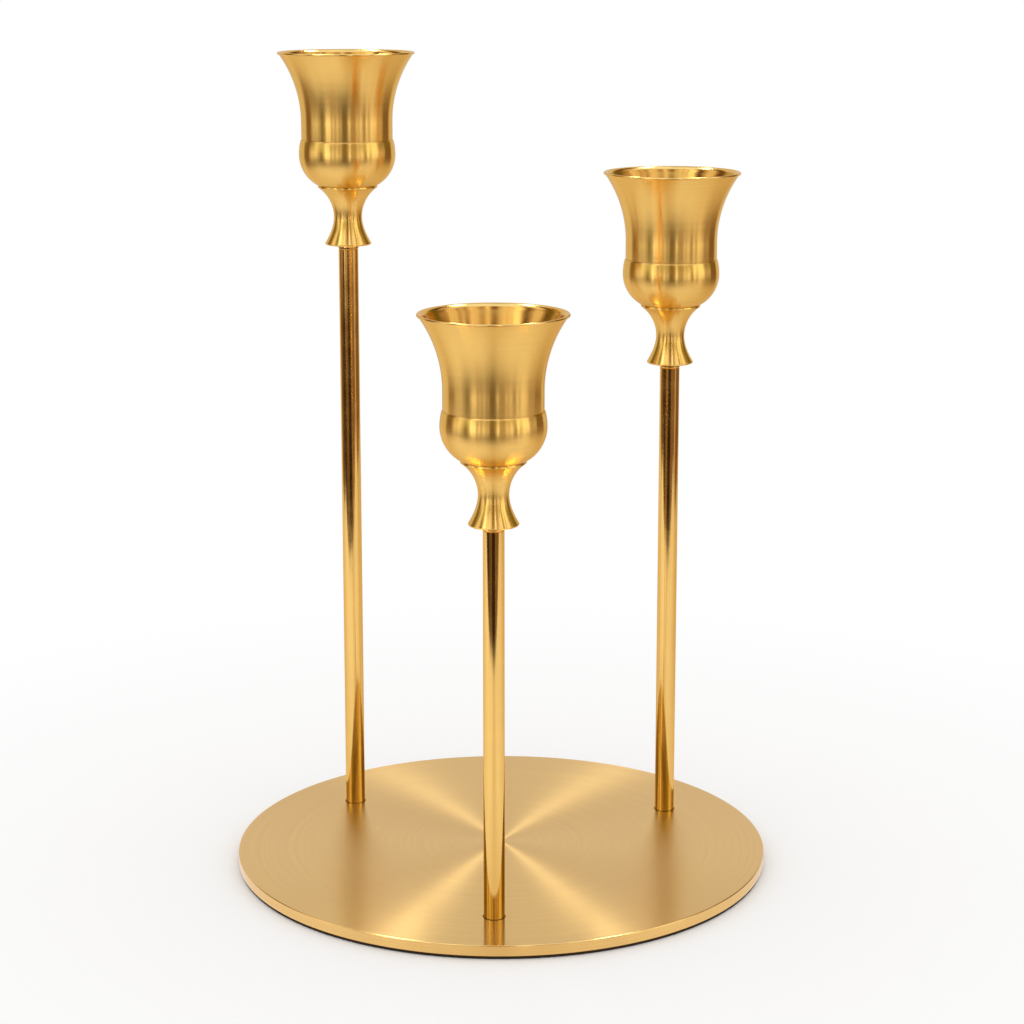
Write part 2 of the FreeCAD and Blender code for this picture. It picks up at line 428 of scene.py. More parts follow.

# Foam: its tones, which are painted darker in the pores as painted shade, and pores by their scale, levels,
# strength and depth in millimetres
FOAM_TINT = (1.0, 0.62, 0.35)
FOAM_TONES_WITH_PORE_SHADE = (0.02, 0.045)
FOAM_ROUGHNESS = 0.85
FOAM_GLOSS = 0.05
PORE_SCALE = 2500.0
PORE_LEVELS = (0.0, 0.7)
PORE_STRENGTH = 0.6
PORE_DEPTH = 0.1


def round_an_axis(tree, axis):
    """Object coordinates about an upright axis: the direction round it, the radius and the height."""
    x, y, height = axes(tree, vectors(tree, "SUBTRACT", place_in_frame(tree), tuple(axis)))
    flat = node(tree, "ShaderNodeCombineXYZ", x, y, 0.0)
    around = vectors(tree, "NORMALIZE", vectors(tree, "CROSS_PRODUCT", UP, flat))
    return around, vectors(tree, "LENGTH", flat), height


def turning_lines(tree, around, radius, height, spacing, length):
    """Fine lines left by a lathe: they follow the turning direction and fade in and out along it."""
    turn_x, turn_y, _ = axes(tree, vectors(tree, "SCALE", around, spacing / length))
    lines = tree.nodes.new("ShaderNodeTexNoise")
    lines.noise_dimensions = "4D"
    tree.links.new(node(tree, "ShaderNodeCombineXYZ", radius, height, turn_x), lines.inputs["Vector"])
    tree.links.new(turn_y, lines.inputs["W"])
    lines.inputs["Scale"].default_value = 1 / spacing
    lines.inputs["Detail"].default_value = LINE_DETAIL
    return lines.outputs["Fac"]


def metal(shader, edge):
    """Makes a shader a metal, whose colour at glancing angles is scaled by edge."""
    shader.inputs["Metallic"].default_value = 1.0
    shader.inputs["Specular Tint"].default_value = edge


def brushed(name, axis, colour, edge, *, roughness, grain, anisotropy, spacing, length, bump):
    """Metal brushed on a lathe: reflections stay sharp along the lines and spread across them."""
    material, tree, shader = new_material(name)
    around, radius, height = round_an_axis(tree, axis)
    lines = turning_lines(tree, around, radius, height, spacing, length)
    normal = tree.nodes.new("ShaderNodeNewGeometry").outputs["Normal"]
    tree.links.new(vectors(tree, "CROSS_PRODUCT", around, normal), shader.inputs["Tangent"])
    metal(shader, edge)
    shader.inputs["Anisotropic"].default_value = anisotropy
    tint = ranged(tree, lines, NOISE_LEVELS, LINE_TINTS)
    tree.links.new(vectors(tree, "SCALE", colour, tint), shader.inputs["Base Color"])
    rough = ranged(tree, lines, GRAIN_LEVELS, (roughness - grain, roughness + grain))
    tree.links.new(rough, shader.inputs["Roughness"])
    relief(tree, shader, lines, bump, LINE_DEPTH * MM)
    return material


def polished(name, colour, edge, roughness):
    """Buffed metal with faint cloudiness left by the polishing wheel."""
    material, tree, shader = new_material(name)
    clouds = tree.nodes.new("ShaderNodeTexNoise")
    tree.links.new(place_in_frame(tree), clouds.inputs["Vector"])
    clouds.inputs["Scale"].default_value = HAZE_SCALE
    clouds.inputs["Detail"].default_value = HAZE_DETAIL
    haze = clouds.outputs["Fac"]
    rough = ranged(tree, haze, NOISE_LEVELS, [roughness * share for share in HAZE_ROUGHNESS])
    tree.links.new(rough, shader.inputs["Roughness"])
    tint = ranged(tree, haze, NOISE_LEVELS, HAZE_TINTS)
    tree.links.new(vectors(tree, "SCALE", colour, tint), shader.inputs["Base Color"])
    metal(shader, edge)
    return material


def foam(name):
    """Black closed-cell foam, painted darker in the hollows of its pores: painted shade."""
    material, tree, shader = new_material(name)
    pores = tree.nodes.new("ShaderNodeTexVoronoi")
    tree.links.new(place_in_frame(tree), pores.inputs["Vector"])
    pores.inputs["Scale"].default_value = PORE_SCALE
    depth = pores.outputs["Distance"]
    # The pores are painted darker where they are deepest: painted shade.
    pore_shaded_tone = ranged(tree, depth, PORE_LEVELS, FOAM_TONES_WITH_PORE_SHADE)
    tree.links.new(vectors(tree, "SCALE", FOAM_TINT, pore_shaded_tone), shader.inputs["Base Color"])
    shader.inputs["Roughness"].default_value = FOAM_ROUGHNESS
    shader.inputs["Specular IOR Level"].default_value = FOAM_GLOSS
    relief(tree, shader, depth, PORE_STRENGTH, PORE_DEPTH * MM)
    return material


def plate_brushed():
    """The plate's finish, brushed in circles about its middle."""
    return brushed(
        "plate_brushed",
        (0, 0, 0),
        PLATE_GOLD,
        PLAIN_EDGE,
        roughness=0.22,
        grain=0.01,
        anisotropy=0.95,
        spacing=0.4 * MM,
        length=1.0,
        bump=0.03,
    )


def cup_satin(arm):
    """The satin outside of one cup, with lathe lines round its own axis."""
    return brushed(
        "cup_satin_" + arm,
        arm_axes[arm],
        CUP_GOLD,
        GOLD_EDGE,
        roughness=0.215,
        grain=0.012,
        anisotropy=1.0,
        spacing=0.25 * MM,
        length=2.0,
        bump=0.035,
    )


plate_finish = plate_brushed()
rod_finish = polished("rod_polished", ROD_GOLD, GOLD_EDGE, roughness=0.10)
cup_finishes = {arm: cup_satin(arm) for arm in ARMS}
# The inside of a cup wears a darker gold, which is painted shade.
shaded_inner_finish = polished("cup_polished_painted_shade", SHADED_INNER_GOLD, GOLD_EDGE, roughness=0.17)
lip_finish = polished("lip_polished", LIP_GOLD, GOLD_EDGE, roughness=0.14)
zinc_finish = polished("zinc_hardware", ZINC, PLAIN_EDGE, roughness=0.30)
foam_finish = foam("pad_foam")


# Base

def screw_hole(axis):
    """The shape of one hole through the plate: rod seat above, clear hole, and countersink below."""
    below = PLATE_BOTTOM - CUT_PAST
    above = PLATE_TOP + CUT_PAST
    seat = PLATE_TOP - SEAT_DEPTH
    seat_radius = radius_of("left_rod") + SEAT_CLEARANCE
    cone_start = PLATE_BOTTOM + SCREW_HEAD_EDGE
    cone_end = cone_start + SCREW_HEAD_RADIUS - SCREW_HOLE_RADIUS
    outline = [(0, below), (SCREW_HEAD_RADIUS, below), (SCREW_HEAD_RADIUS, cone_start)]
    outline += [(SCREW_HOLE_RADIUS, cone_end), (SCREW_HOLE_RADIUS, seat)]
    outline += [(seat_radius, seat), (seat_radius, above), (0, above)]
    return moved(turned("hole", outline, SMALL_STEPS), axis)


def base_plate():
    """The brushed disc: softly broken edges, with a seat for each rod."""
    flat = PLATE_RADIUS - PLATE_EDGE_ROUND
    support = flat - PLATE_EDGE_SUPPORT
    side_low = PLATE_BOTTOM + PLATE_EDGE_ROUND
    side_high = PLATE_TOP - PLATE_EDGE_ROUND
    outline = [(0, PLATE_BOTTOM), (support, PLATE_BOTTOM), (flat, PLATE_BOTTOM)]
    outline += arc(outline[-1], (flat, side_low), (PLATE_RADIUS, side_low), steps=4)
    outline += [(PLATE_RADIUS, side_low + PLATE_EDGE_SUPPORT)]
    outline += [(PLATE_RADIUS, side_high - PLATE_EDGE_SUPPORT), (PLATE_RADIUS, side_high)]
    outline += arc(outline[-1], (flat, side_high), (flat, PLATE_TOP), steps=4)
    outline += [(support, PLATE_TOP), (0, PLATE_TOP)]
    plate = turned("plate", outline, FINE_STEPS)
    for arm in ARMS:
        cut(plate, screw_hole(arm_axes[arm]))
    fitted(plate, "base_plate", BODY, "plate_brushed", plate_finish)


def base_pad():
    """The foam disc under the plate, with a rounded edge and a hole below each screw."""
    flat = PAD_RADIUS - PAD_EDGE_ROUND
    outline = [(0, 0), (flat, 0)]
    outline += arc(outline[-1], (flat, PAD_EDGE_ROUND), (PAD_RADIUS, PAD_EDGE_ROUND), steps=8)
    outline += [(PAD_RADIUS, PAD_TOP), (0, PAD_TOP)]
    pad = turned("pad", outline, FINE_STEPS)
    above = PAD_TOP + CUT_PAST
    hole = [(0, -CUT_PAST), (PAD_HOLE_RADIUS, -CUT_PAST), (PAD_HOLE_RADIUS, above), (0, above)]
    for arm in ARMS:
        cut(pad, moved(turned("hole", hole, SMALL_STEPS), arm_axes[arm]))
    fitted(pad, "base_pad", BODY, "pad_foam", foam_finish)


# Rods and collars

def rod(arm):
    """A polished rod with a fine chamfer at each end."""
    bottom, top = levels_of(arm + "_rod")
    radius = radius_of(arm + "_rod")
    thin = radius - ROD_CHAMFER
    outline = [(TAPPED_RADIUS, bottom), (thin, bottom), (radius, bottom + ROD_CHAMFER)]
    outline += [(radius, top - ROD_CHAMFER), (thin, top), (TAPPED_RADIUS, top), (TAPPED_RADIUS, bottom)]
    piece = moved(turned(arm + "_polished_rod", outline, ROD_STEPS), arm_axes[arm])
    fitted(piece, arm + "_rod", BODY, "rod_polished", rod_finish)


def collar(arm):
    """The thin bright ring between rod and cup."""
    bottom, top = levels_of(arm + "_collar")
    outer = radius_of(arm + "_collar")
    flat = outer - COLLAR_ROUND
    outline = [(COLLAR_BORE, bottom), (flat, bottom)]
    outline += arc(outline[-1], (flat, bottom + COLLAR_ROUND), (outer, bottom + COLLAR_ROUND), steps=5)
    outline += [(outer, top - COLLAR_ROUND)]
    outline += arc(outline[-1], (flat, top - COLLAR_ROUND), (flat, top), steps=5)
    outline += [(COLLAR_BORE, top), (COLLAR_BORE, bottom)]
    piece = moved(turned(arm + "_ring", outline, ROD_STEPS), arm_axes[arm])
    fitted(piece, arm + "_collar", arm + "_collar", "rod_polished", rod_finish)


# Cups

def neck():
    """The waisted stem of a cup, with a narrow rim round its top, standing on the frame's origin."""
    foot_edge = (NECK_FOOT_RADIUS, NECK_FOOT_EDGE)
    foot_flat = NECK_FOOT_RADIUS - NECK_FOOT_EDGE
    ease = NECK_WAIST[1] - NECK_EASE * (NECK_WAIST[1] - foot_edge[1])
    flank_end = (NECK_TOP_RADIUS, NECK_HEIGHT - NECK_RIM)
    flank_centre = centre_upright_at(NECK_WAIST, flank_end)
    outline = [(TAPPED_RADIUS, 0), (foot_flat, 0)]
    outline += arc(outline[-1], (foot_flat, NECK_FOOT_EDGE), foot_edge, steps=6)
    outline += bend(foot_edge, (NECK_WAIST[0], ease), NECK_WAIST, steps=24)
    outline += arc(NECK_WAIST, flank_centre, flank_end, steps=24)
    outline += roll(flank_end, slope(flank_end, flank_centre), NECK_RIM_LEAN, NECK_RIM_ROUND, steps=6)
    rim_low = outline[-1]
    rim_high = NECK_HEIGHT - NECK_RIM_EDGE
    outline += [(rim_low[0] - (rim_high - rim_low[1]) * math.tan(NECK_RIM_LEAN), rim_high)]
    outline += roll(outline[-1], NECK_RIM_LEAN, math.pi / 2, NECK_RIM_EDGE, steps=4)
    outline += [(TAPPED_RADIUS, outline[-1][1]), (TAPPED_RADIUS, 0)]
    return turned("neck", outline, FINE_STEPS)


def bulb():
    """The round body of a cup: candle socket, screw recess and a spigot for the flare."""
    shoulder = (BULB_SHOULDER, BULB_HEIGHT - BULB_BEVEL[1])
    spigot_top = BULB_HEIGHT + SPIGOT_HEIGHT
    recess_floor = BULB_FLOOR - RECESS_DEPTH
    outline = [(SCREW_HOLE_RADIUS, 0), (BULB_FOOT[0] - BULB_FOOT[1], 0), BULB_FOOT]
    outline += arc(BULB_FOOT, centre_upright_at(BULB_WIDEST, BULB_FOOT), BULB_WIDEST, steps=28)
    outline += arc(BULB_WIDEST, centre_upright_at(BULB_WIDEST, shoulder), shoulder, steps=12)
    outline += [(BULB_SHOULDER - BULB_BEVEL[0], BULB_HEIGHT), (SPIGOT_RADIUS, BULB_HEIGHT)]
    outline += [(SPIGOT_RADIUS, spigot_top), (SOCKET_RADIUS + SOCKET_CHAMFER, spigot_top)]
    outline += [(SOCKET_RADIUS, spigot_top - SOCKET_CHAMFER), (SOCKET_RADIUS, BULB_FLOOR)]
    outline += [(RECESS_RADIUS, BULB_FLOOR), (RECESS_RADIUS, recess_floor)]
    outline += [(SCREW_HOLE_RADIUS, recess_floor), (SCREW_HOLE_RADIUS, 0)]
    return turned("bulb", raised(outline, NECK_HEIGHT), FINE_STEPS)


def flare():
    """The thin wall above the bulb, which opens out to a rounded lip."""
    throat = (FLARE_THROAT, FLARE_STRAIGHT)
    bore_top = (FLARE_BORE, FLARE_STRAIGHT)
    lip_low = FLARE_HEIGHT - LIP_THICKNESS
    lip_edge = RIM_RADIUS - LIP_THICKNESS / 2
    lip_centre = (lip_edge, FLARE_HEIGHT - LIP_THICKNESS / 2)
    lip_top = (lip_edge, FLARE_HEIGHT)
    wall_end = (RIM_RADIUS - LIP_OVERHANG, lip_low)
    bell = centre_upright_at(throat, wall_end)
    crease_level = FLARE_HEIGHT - LIP_DEPTH
    reach = bell[0] - FLARE_BORE
    crease = (bell[0] - math.sqrt(reach**2 - (crease_level - bell[1]) ** 2), crease_level)
    outline = [(FLARE_BORE, 0), (FLARE_THROAT - FLARE_FOOT_ROUND, 0)]
    outline += roll(outline[-1], -math.pi / 2, 0, FLARE_FOOT_ROUND, steps=6)
    outline += [throat]
    outline += arc(throat, bell, wall_end, steps=32)
    outline += [(lip_edge, lip_low)]
    outline += arc(outline[-1], lip_centre, (RIM_RADIUS, lip_centre[1]), steps=5)
    outline += arc(outline[-1], lip_centre, lip_top, steps=5)
    outline += arc(lip_top, centre_level_at(lip_top, crease), crease, steps=8)
    outline += arc(crease, bell, bore_top, steps=28)
    outline += [(FLARE_BORE, 0)]
    return turned("flare", raised(outline, NECK_HEIGHT + BULB_HEIGHT), FINE_STEPS)


def polish(piece, axis, lip_level):
    """Gives the inner finish, a darker gold that paints shade into the hollow, to the faces that look at
    the axis, and the lip's to those above a level.
    """
    for face in piece.data.polygons:
        outwards = Vector((face.center.x - axis.x, face.center.y - axis.y, 0))
        if face.center.z > lip_level:
            face.material_index = LIP_SLOT
        elif face.normal.dot(outwards) < 0:
            face.material_index = INNER_SLOT


def cups():
    """Models one cup and copies its pieces onto every rod."""
    patterns = {"neck": neck(), "bulb": bulb(), "flare": flare()}
    shoulder = NECK_HEIGHT + BULB_HEIGHT
    lip_levels = {
        "neck": NECK_HEIGHT,
        "bulb": shoulder,
        "flare": shoulder + FLARE_HEIGHT - LIP_THICKNESS,
    }
    for arm in ARMS:
        foot = cup_feet[arm]
        finishes = (cup_finishes[arm], shaded_inner_finish, lip_finish)
        for part, pattern in patterns.items():
            piece = copied(pattern, arm + "_cup_" + part, foot)
            fitted(piece, arm + "_" + part, arm + "_cup", "cup_satin", *finishes)
            polish(piece, foot, foot.z + lip_levels[part] * MM)
    for pattern in patterns.values():
        removed(pattern)


# Screws, studs and washers

def shaft(bottom, top):
    """Closely spaced points up the side of a shaft, for a thread."""
    count = round((top - bottom) / THREAD_PITCH * THREAD_RINGS)
    return [(THREAD_RADIUS, bottom + (top - bottom) * step / count) for step in range(count + 1)]


def threaded(piece, bottom, top):
    """Presses a right-handed thread into the smooth shaft between two heights."""
    for point in piece.data.vertices:
        radius = math.hypot(point.co.x, point.co.y) / MM
        height = point.co.z / MM
        if radius < THREAD_RADIUS - THREAD_CHAMFER / 2 or not bottom <= height <= top:
            continue
        turn = math.atan2(point.co.y, point.co.x) / (2 * math.pi)
        phase = (height / THREAD_PITCH - turn) % 1
        valley = THREAD_RADIUS - THREAD_DEPTH * abs(2 * phase - 1)
        taper = THREAD_RADIUS - THREAD_CHAMFER + min(height - bottom, top - height)
        share = min(valley, taper) / radius
        point.co.x *= share
        point.co.y *= share


def rod_studs():
    """The headless screws in the rods' tops, which show when a cup is turned up."""
    rod_tops = {arm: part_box(arm + "_rod")[1].z for arm in ARMS}
    bottom = levels_of("rod_studs", min(rod_tops.values()))[0]
    top = levels_of("rod_studs", max(rod_tops.values()))[1]
    stud = turned("stud", [(0, bottom), *shaft(bottom, top), (0, top)], SMALL_STEPS)
    threaded(stud, bottom, top)
    width, depth = STUD_SOCKET
    cut(stud, hex_key(width, top - depth, top + CUT_PAST))
    studs = [copied(stud, "stud_" + arm, arm_axes[arm] + Vector((0, 0, rod_tops[arm]))) for arm in ARMS]
    removed(stud)
    fitted(joined(studs, "threaded_studs"), "rod_studs", BODY, "hardware", zinc_finish)


def base_screws():
    """The countersunk screws under the plate."""
    head, tip = levels_of("base_screws")
    cone_start = head + COUNTERSUNK_EDGE
    cone_end = cone_start + HEAD_RADIUS - THREAD_RADIUS
    outline = [(0, head), (HEAD_RADIUS, head), (HEAD_RADIUS, cone_start), *shaft(cone_end, tip), (0, tip)]
    screw = turned("screw", outline, SMALL_STEPS)
    threaded(screw, cone_end + THREAD_PITCH, tip)
    width, depth = SCREW_SOCKET
    cut(screw, hex_key(width, head - CUT_PAST, head + depth))
    screws = [copied(screw, "screw_" + arm, arm_axes[arm]) for arm in ARMS]
    removed(screw)
    fitted(joined(screws, "countersunk_screws"), "base_screws", BODY, "hardware", zinc_finish)


def cup_screw():
    """The button head screw of a cup, at its height over the cup's foot."""
    tip, crown = levels_of("left_cup_screw", cup_feet["left"].z)
    width, depth = SCREW_SOCKET
    seat = crown - BUTTON_HEIGHT
    head_edge = (HEAD_RADIUS, seat + BUTTON_EDGE)
    crown_flat = (width / math.sqrt(3), crown)
    outline = [(0, tip), *shaft(tip, seat), (HEAD_RADIUS, seat), head_edge]
    outline += arc(head_edge, centre_level_at(crown_flat, head_edge), crown_flat, steps=10)
    outline += [(0, crown)]
    screw = turned("screw", outline, SMALL_STEPS)
    threaded(screw, tip, seat - THREAD_PITCH)
    cut(screw, hex_key(width, crown - depth, crown + CUT_PAST))
    return screw


def cup_washer():
    """The washer under that screw."""
    bottom, top = levels_of("left_cup_washer", cup_feet["left"].z)
    outer = radius_of("left_cup_washer")
    edge = outer - WASHER_EDGE
    outline = [(WASHER_BORE, bottom), (edge, bottom), (outer, bottom + WASHER_EDGE)]
    outline += [(outer, top - WASHER_EDGE), (edge, top), (WASHER_BORE, top), (WASHER_BORE, bottom)]
    return turned("washer", outline, SMALL_STEPS)


def cup_fasteners():
    """Copies a screw and a washer into every cup."""
    screw = cup_screw()
    washer = cup_washer()
    for arm in ARMS:
        button = copied(screw, arm + "_button_screw", cup_feet[arm])
        fitted(button, arm + "_cup_screw", arm + "_cup", "hardware", zinc_finish)
        ring = copied(washer, arm + "_flat_washer", cup_feet[arm])
        fitted(ring, arm + "_cup_washer", arm + "_cup", "hardware", zinc_finish)
    removed(screw)
    removed(washer)


base_plate()
base_pad()
base_screws()
rod_studs()
for arm in ARMS:
    rod(arm)
    collar(arm)
cups()
cup_fasteners()


# Studio

# Plain white, as the camera sees it, and the two ends of a share
WHITE = (1.0, 1.0, 1.0, 1.0)
PLAIN_LEVEL = 1.0
NONE_TO_ALL = (0.0, 1.0)
ALL_TO_NONE = (1.0, 0.0)

# The floor, and how it fades into the backdrop: between which distances, and from which share to which
FLOOR_REACH = 8.0
FLOOR_COLOUR = (0.95, 0.948, 0.945, 1)
FADE_DISTANCES = (0.09, 0.3)
FADE_SHARES = (0.08, 1.0)

# The white table top that reflections see: its edges, and the corner that is cut off in front at the left
TABLE_FRONT = -0.325
TABLE_BACK = 0.6
TABLE_HALF_WIDTH = 0.5
TABLE_CORNER = (-0.10, -0.325)
TABLE_CORNER_WAY = (-0.9, 0.43)

# Its brightness from close to the plate to farther out, which then falls off to the right, towards the back
# and in a soft dip along the middle, which is a painted shadow of the stand
TABLE_DISTANCES = (0.1, 0.3)
TABLE_LEVELS = (1.08, 1.06)
TABLE_SLANT = 0.25
TABLE_SLANT_LIMITS = (0.9, 1.1)
TABLE_REAR_PLACES = (-0.15, 0.1)
TABLE_REAR_SHARES = (1.0, 0.78)
TABLE_SHADOW_PLACES = (0.0, 0.08)
TABLE_SHADOW_SHARES = (0.82, 1.0)

# Its tint where it is dim and where it is bright, and the brightness from which the tint turns
TABLE_TINT = (1.0, 0.8, 0.6, 1.0)
BRIGHT_TINT = (1.0, 0.97, 1.08, 1.0)
TABLE_TINT_LEVELS = (0.65, 1.0)

# Bright panels and dark gaps that stand round the front of the stand, for its reflections: the direction
# in degrees, 0 towards the viewer and 90 to the right, half the width in degrees, and the brightness
PANELS = (
    (-110, 11, 0.12),
    (-82, 9, 0.9),
    (-60, 4, 0.05),
    (-43, 6, 1.8),
    (-30, 3, 1.15),
    (-20, 3, 1.15),
    (-12, 3, 0.8),
    (-2, 4.5, 0.2),
    (10, 2, 1.5),
    (20, 2, 0.45),
    (30, 3, 1.0),
    (39, 3, 1.2),
    (48.5, 1, 0.1),
    (55, 2, 1.0),
    (61, 2, 0.45),
    (69, 3, 1.0),
    (79, 4, 1.0),
    (95, 6, 0.5),
    (119, 13, 0.1),
)
PANEL_BLUR = 1.5
PANEL_LEAN = 0.25
GAP_BRIGHTNESS = 0.5

# A calmer belt with broad bands crosses the panels. Below and above it their brightness is multiplied
BELT_BANDS = (
    (-60, 14, 1.0),
    (-10, 25, 0.25),
    (30, 12, 0.4),
    (62, 12, 1.3),
)
BELT_BLUR = 8.0
BELT_SIDES = 0.25
BELT_LEVEL = 0.28
BELT_HALF_HEIGHT = 0.12
BELT_EDGE = 0.12
BELT_TINT = (1.0, 0.8, 0.2, 1.0)
BELT_BRIGHT_TINT = (1.0, 1.03, 0.8, 1.0)
SHARE_BELOW_BELT = 2.0
SHARE_ABOVE_BELT = 1.4

# The ceiling is plain
CEILING_LEVELS = (0.75, 0.92)
CEILING_BRIGHTNESS = 1.1
CEILING_TINT = (1.0, 1.12, 1.45, 1.0)

# The white wall behind the stand: how far from a direction in front it starts
REAR_DIRECTION = 8.0
REAR_START = 123.0
REAR_BLUR = 10.0
REAR_BRIGHTNESS = 0.76
REAR_TINT = (1.0, 0.95, 0.95, 1.0)

# Below the horizon the room in front is dark beyond the table, in bands like those of the panels
ROOM_BANDS = (
    (-67, 20, 0.06),
    (-32, 10, 0.17),
    (-2, 14, 0.035),
    (35, 18, 0.23),
    (70, 6, 0.6),
)
ROOM_BLUR = 4.0
ROOM_SIDES = 0.22
ROOM_TINT = (1.0, 0.58, 0.36, 1.0)
HORIZON = -0.09
HORIZON_BLUR = 0.05

# How fast a tint turns from the dark one to the bright one as the brightness grows
TINT_POWER = 2.0

# A ray mirrored more than once sees this share of the room's brightness, as one gold piece does in another
ONE_MIRROR = 1.0
ECHO_SHARE = 0.8

# Two strip lamps behind the stand, one at each side, which only reflections see: the direction, the way the
# strip runs, and its size and power
LAMP_DIRECTION = (0.25, 0.42, 0.87)
LAMP_RUN = (0.42, -0.87, 0.27)
LAMP_DISTANCE = 1.4
LAMP_WIDTH = 0.1
LAMP_LENGTH = 0.5
LAMP_POWER = 3.6

# The camera, fitted to the photograph: its place in millimetres, its angles in degrees, and its lens
CAMERA_PLACE = (4.15, -702.1, 270.9)
CAMERA_DIP = 11.15
CAMERA_YAW = 0.07
SENSOR_WIDTH = 36.0
FOCAL_LENGTH = 84.9
LENS_SHIFT = -0.08


def seen_rays(tree):
    """1 for rays of the camera, of reflections and of clear materials, and 0 for rays that carry light."""
    path = tree.nodes.new("ShaderNodeLightPath").outputs
    shiny = maths(tree, "MAXIMUM", path["Is Glossy Ray"], path["Is Transmission Ray"])
    return maths(tree, "MAXIMUM", path["Is Camera Ray"], shiny)


def floor():
    """A plain pale floor that keeps the shadow and fades into the white backdrop."""
    deselect()
    bpy.ops.mesh.primitive_plane_add(size=2 * FLOOR_REACH, location=(0, 0, 0))
    ground = bpy.context.object
    ground.name = "floor"
    material, tree, shader = new_material("floor_white")
    shader.inputs["Base Color"].default_value = FLOOR_COLOUR
    shader.inputs["Roughness"].default_value = 1.0
    shader.inputs["Specular IOR Level"].default_value = 0.0
    away = vectors(tree, "LENGTH", place_in_frame(tree))
    fade = ranged(tree, away, FADE_DISTANCES, FADE_SHARES)
    share = maths(tree, "MULTIPLY", fade, seen_rays(tree))
    glow = node(tree, "ShaderNodeEmission", WHITE, PLAIN_LEVEL)
    both = node(tree, "ShaderNodeMixShader", share, shader.outputs[0], glow)
    tree.links.new(both, tree.nodes["Material Output"].inputs["Surface"])
    ground.data.materials.append(material)
    ground.visible_glossy = False


def table_white():
    """The glow of the table top, by its place, with the stand's shadow painted along its middle."""
    material, tree, shader = new_material("table_white")
    place = place_in_frame(tree)
    x, y, _ = axes(tree, place)
    slant = maths(tree, "MULTIPLY_ADD", x, -TABLE_SLANT, 1.0)
    slant = node(tree, "ShaderNodeClamp", slant, *TABLE_SLANT_LIMITS)
    rear = ranged(tree, y, TABLE_REAR_PLACES, TABLE_REAR_SHARES)
    # A painted shadow of the stand: the table is darker along its middle.
    stand_shadow = ranged(tree, maths(tree, "ABSOLUTE", x), TABLE_SHADOW_PLACES, TABLE_SHADOW_SHARES)
    level = ranged(tree, vectors(tree, "LENGTH", place), TABLE_DISTANCES, TABLE_LEVELS)
    for share in (slant, rear, stand_shadow):
        level = maths(tree, "MULTIPLY", level, share)
    bright = ranged(tree, level, TABLE_TINT_LEVELS, NONE_TO_ALL)
    tint = tinted(tree, bright, TABLE_TINT, BRIGHT_TINT)
    glow = node(tree, "ShaderNodeEmission", tint, level)
    tree.links.new(glow, tree.nodes["Material Output"].inputs["Surface"])
    tree.nodes.remove(shader)
    return material


def table_top():
    """The white table that reflections see in place of the floor: it ends in front, one corner cut off."""
    deselect()
    depth = TABLE_BACK - TABLE_FRONT
    bpy.ops.mesh.primitive_plane_add(size=1, location=(0, TABLE_FRONT + depth / 2, 0))
    table = bpy.context.object
    table.name = "table_top"
    table.scale = (2 * TABLE_HALF_WIDTH, depth, 1)
    bpy.ops.object.transform_apply(location=True, rotation=True, scale=True)
    bpy.ops.object.mode_set(mode="EDIT")
    bpy.ops.mesh.select_all(action="SELECT")
    bpy.ops.mesh.bisect(
        plane_co=(*TABLE_CORNER, 0),
        plane_no=(-TABLE_CORNER_WAY[1], TABLE_CORNER_WAY[0], 0),
        clear_outer=True,
    )
    bpy.ops.object.mode_set(mode="OBJECT")
    table.data.materials.append(table_white())
    table.visible_camera = False
    table.visible_diffuse = False
    table.visible_shadow = False


def strip_lamp(name, side):
    """A long soft lamp behind the stand at one side, which draws a streak on the plate."""
    lamp = bpy.data.lights.new(name, "AREA")
    lamp.shape = "RECTANGLE"
    lamp.size = LAMP_WIDTH
    lamp.size_y = LAMP_LENGTH
    lamp.energy = LAMP_POWER
    holder = bpy.data.objects.new(name, lamp)
    bpy.context.scene.collection.objects.link(holder)
    away = Vector((side * LAMP_DIRECTION[0], *LAMP_DIRECTION[1:])).normalized()
    along = Vector((side * LAMP_RUN[0], *LAMP_RUN[1:]))
    along = (along - away * along.dot(away)).normalized()
    turn = Matrix((along.cross(away), along, away)).transposed()
    holder.location = away * LAMP_DISTANCE
    holder.rotation_euler = turn.to_euler()
    holder.visible_camera = False
    holder.visible_diffuse = False


def apart(tree, value, other):
    """How far two numbers lie apart."""
    return maths(tree, "ABSOLUTE", maths(tree, "SUBTRACT", value, other))


def bands(tree, degrees, level, entries, blur):
    """A level for every direction round the stand: soft-edged bands on a plain level."""
    for direction, half_width, brightness in entries:
        edge = (half_width, half_width + blur)
        inside = ranged(tree, apart(tree, degrees, direction), edge, ALL_TO_NONE)
        level = mixed(tree, inside, level, brightness)
    return level


def bearing(tree, east, north, up):
    """The direction round the stand in degrees, in which the panels lean outwards higher up."""
    turn = maths(tree, "ARCTAN2", east, maths(tree, "MULTIPLY", north, -1.0))
    lean = maths(tree, "MULTIPLY_ADD", maths(tree, "MAXIMUM", up, 0.0), -PANEL_LEAN, 1.0)
    return maths(tree, "MULTIPLY", maths(tree, "DEGREES", turn), lean)


def front_walls(tree, degrees, up, off_belt, ceiling):
    """The brightness in front: panels, the belt across them, and the ceiling."""
    panels = bands(tree, degrees, GAP_BRIGHTNESS, PANELS, PANEL_BLUR)
    below = maths(tree, "MULTIPLY", panels, SHARE_BELOW_BELT)
    above = maths(tree, "MULTIPLY", panels, SHARE_ABOVE_BELT)
    panels = mixed(tree, maths(tree, "GREATER_THAN", up, BELT_LEVEL), below, above)
    belt = bands(tree, degrees, BELT_SIDES, BELT_BANDS, BELT_BLUR)
    return mixed(tree, ceiling, mixed(tree, off_belt, belt, panels), CEILING_BRIGHTNESS)


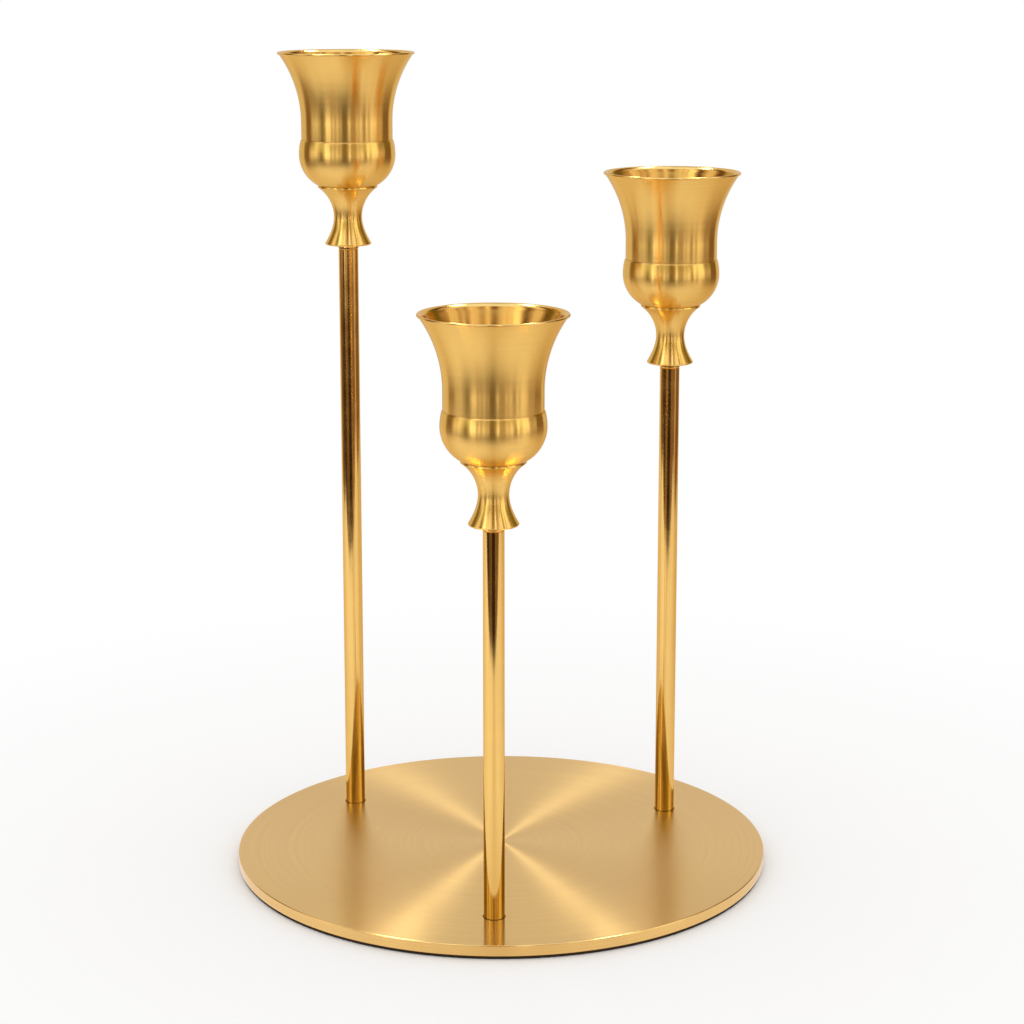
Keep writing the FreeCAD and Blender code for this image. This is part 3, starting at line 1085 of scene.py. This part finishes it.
def wall_tint(tree, level, off_belt, behind, ceiling):
    """The tint of every direction: by its brightness in front, and plain behind and above."""
    dark = tinted(tree, off_belt, BELT_TINT, ROOM_TINT)
    bright = tinted(tree, off_belt, BELT_BRIGHT_TINT, BRIGHT_TINT)
    tint = tinted(tree, maths(tree, "POWER", level, TINT_POWER), dark, bright)
    tint = tinted(tree, behind, tint, REAR_TINT)
    return tinted(tree, ceiling, tint, CEILING_TINT)


def studio_walls():
    """Plain white for the camera and for light. Reflections see panels in front and white behind."""
    world = bpy.data.worlds.new("studio")
    bpy.context.scene.world = world
    world.use_nodes = True
    tree = world.node_tree
    east, north, up = axes(tree, tree.nodes.new("ShaderNodeTexCoord").outputs["Generated"])
    degrees = bearing(tree, east, north, up)
    belt_edge = (BELT_HALF_HEIGHT, BELT_HALF_HEIGHT + BELT_EDGE)
    off_belt = ranged(tree, apart(tree, up, BELT_LEVEL), belt_edge, NONE_TO_ALL)
    ceiling = ranged(tree, up, CEILING_LEVELS, NONE_TO_ALL)
    rear_edge = (REAR_START, REAR_START + REAR_BLUR)
    behind = ranged(tree, apart(tree, degrees, REAR_DIRECTION), rear_edge, NONE_TO_ALL)
    above = ranged(tree, up, (HORIZON - HORIZON_BLUR, HORIZON + HORIZON_BLUR), NONE_TO_ALL)
    room = bands(tree, degrees, ROOM_SIDES, ROOM_BANDS, ROOM_BLUR)
    level = mixed(tree, above, room, front_walls(tree, degrees, up, off_belt, ceiling))
    level = mixed(tree, behind, level, REAR_BRIGHTNESS)
    tint = wall_tint(tree, level, off_belt, behind, ceiling)
    path = tree.nodes.new("ShaderNodeLightPath").outputs
    echo = maths(tree, "GREATER_THAN", path["Glossy Depth"], ONE_MIRROR)
    level = mixed(tree, echo, level, maths(tree, "MULTIPLY", level, ECHO_SHARE))
    mirrored = path["Is Glossy Ray"]
    background = tree.nodes["Background"]
    tree.links.new(tinted(tree, mirrored, WHITE, tint), background.inputs["Color"])
    tree.links.new(mixed(tree, mirrored, PLAIN_LEVEL, level), background.inputs["Strength"])


def camera():
    """The photograph's viewpoint, with the camera tipped down towards the stand."""
    lens = bpy.data.cameras.new("camera")
    holder = bpy.data.objects.new("camera", lens)
    bpy.context.scene.collection.objects.link(holder)
    holder.location = [place * MM for place in CAMERA_PLACE]
    holder.rotation_euler = (math.radians(90 - CAMERA_DIP), 0, math.radians(CAMERA_YAW))
    lens.sensor_width = SENSOR_WIDTH
    lens.lens = FOCAL_LENGTH
    lens.shift_y = LENS_SHIFT
    bpy.context.scene.camera = holder


floor()
table_top()
strip_lamp("left_lamp", -1)
strip_lamp("right_lamp", 1)
studio_walls()
camera()
bpy.context.scene.view_settings.view_transform = "Standard"
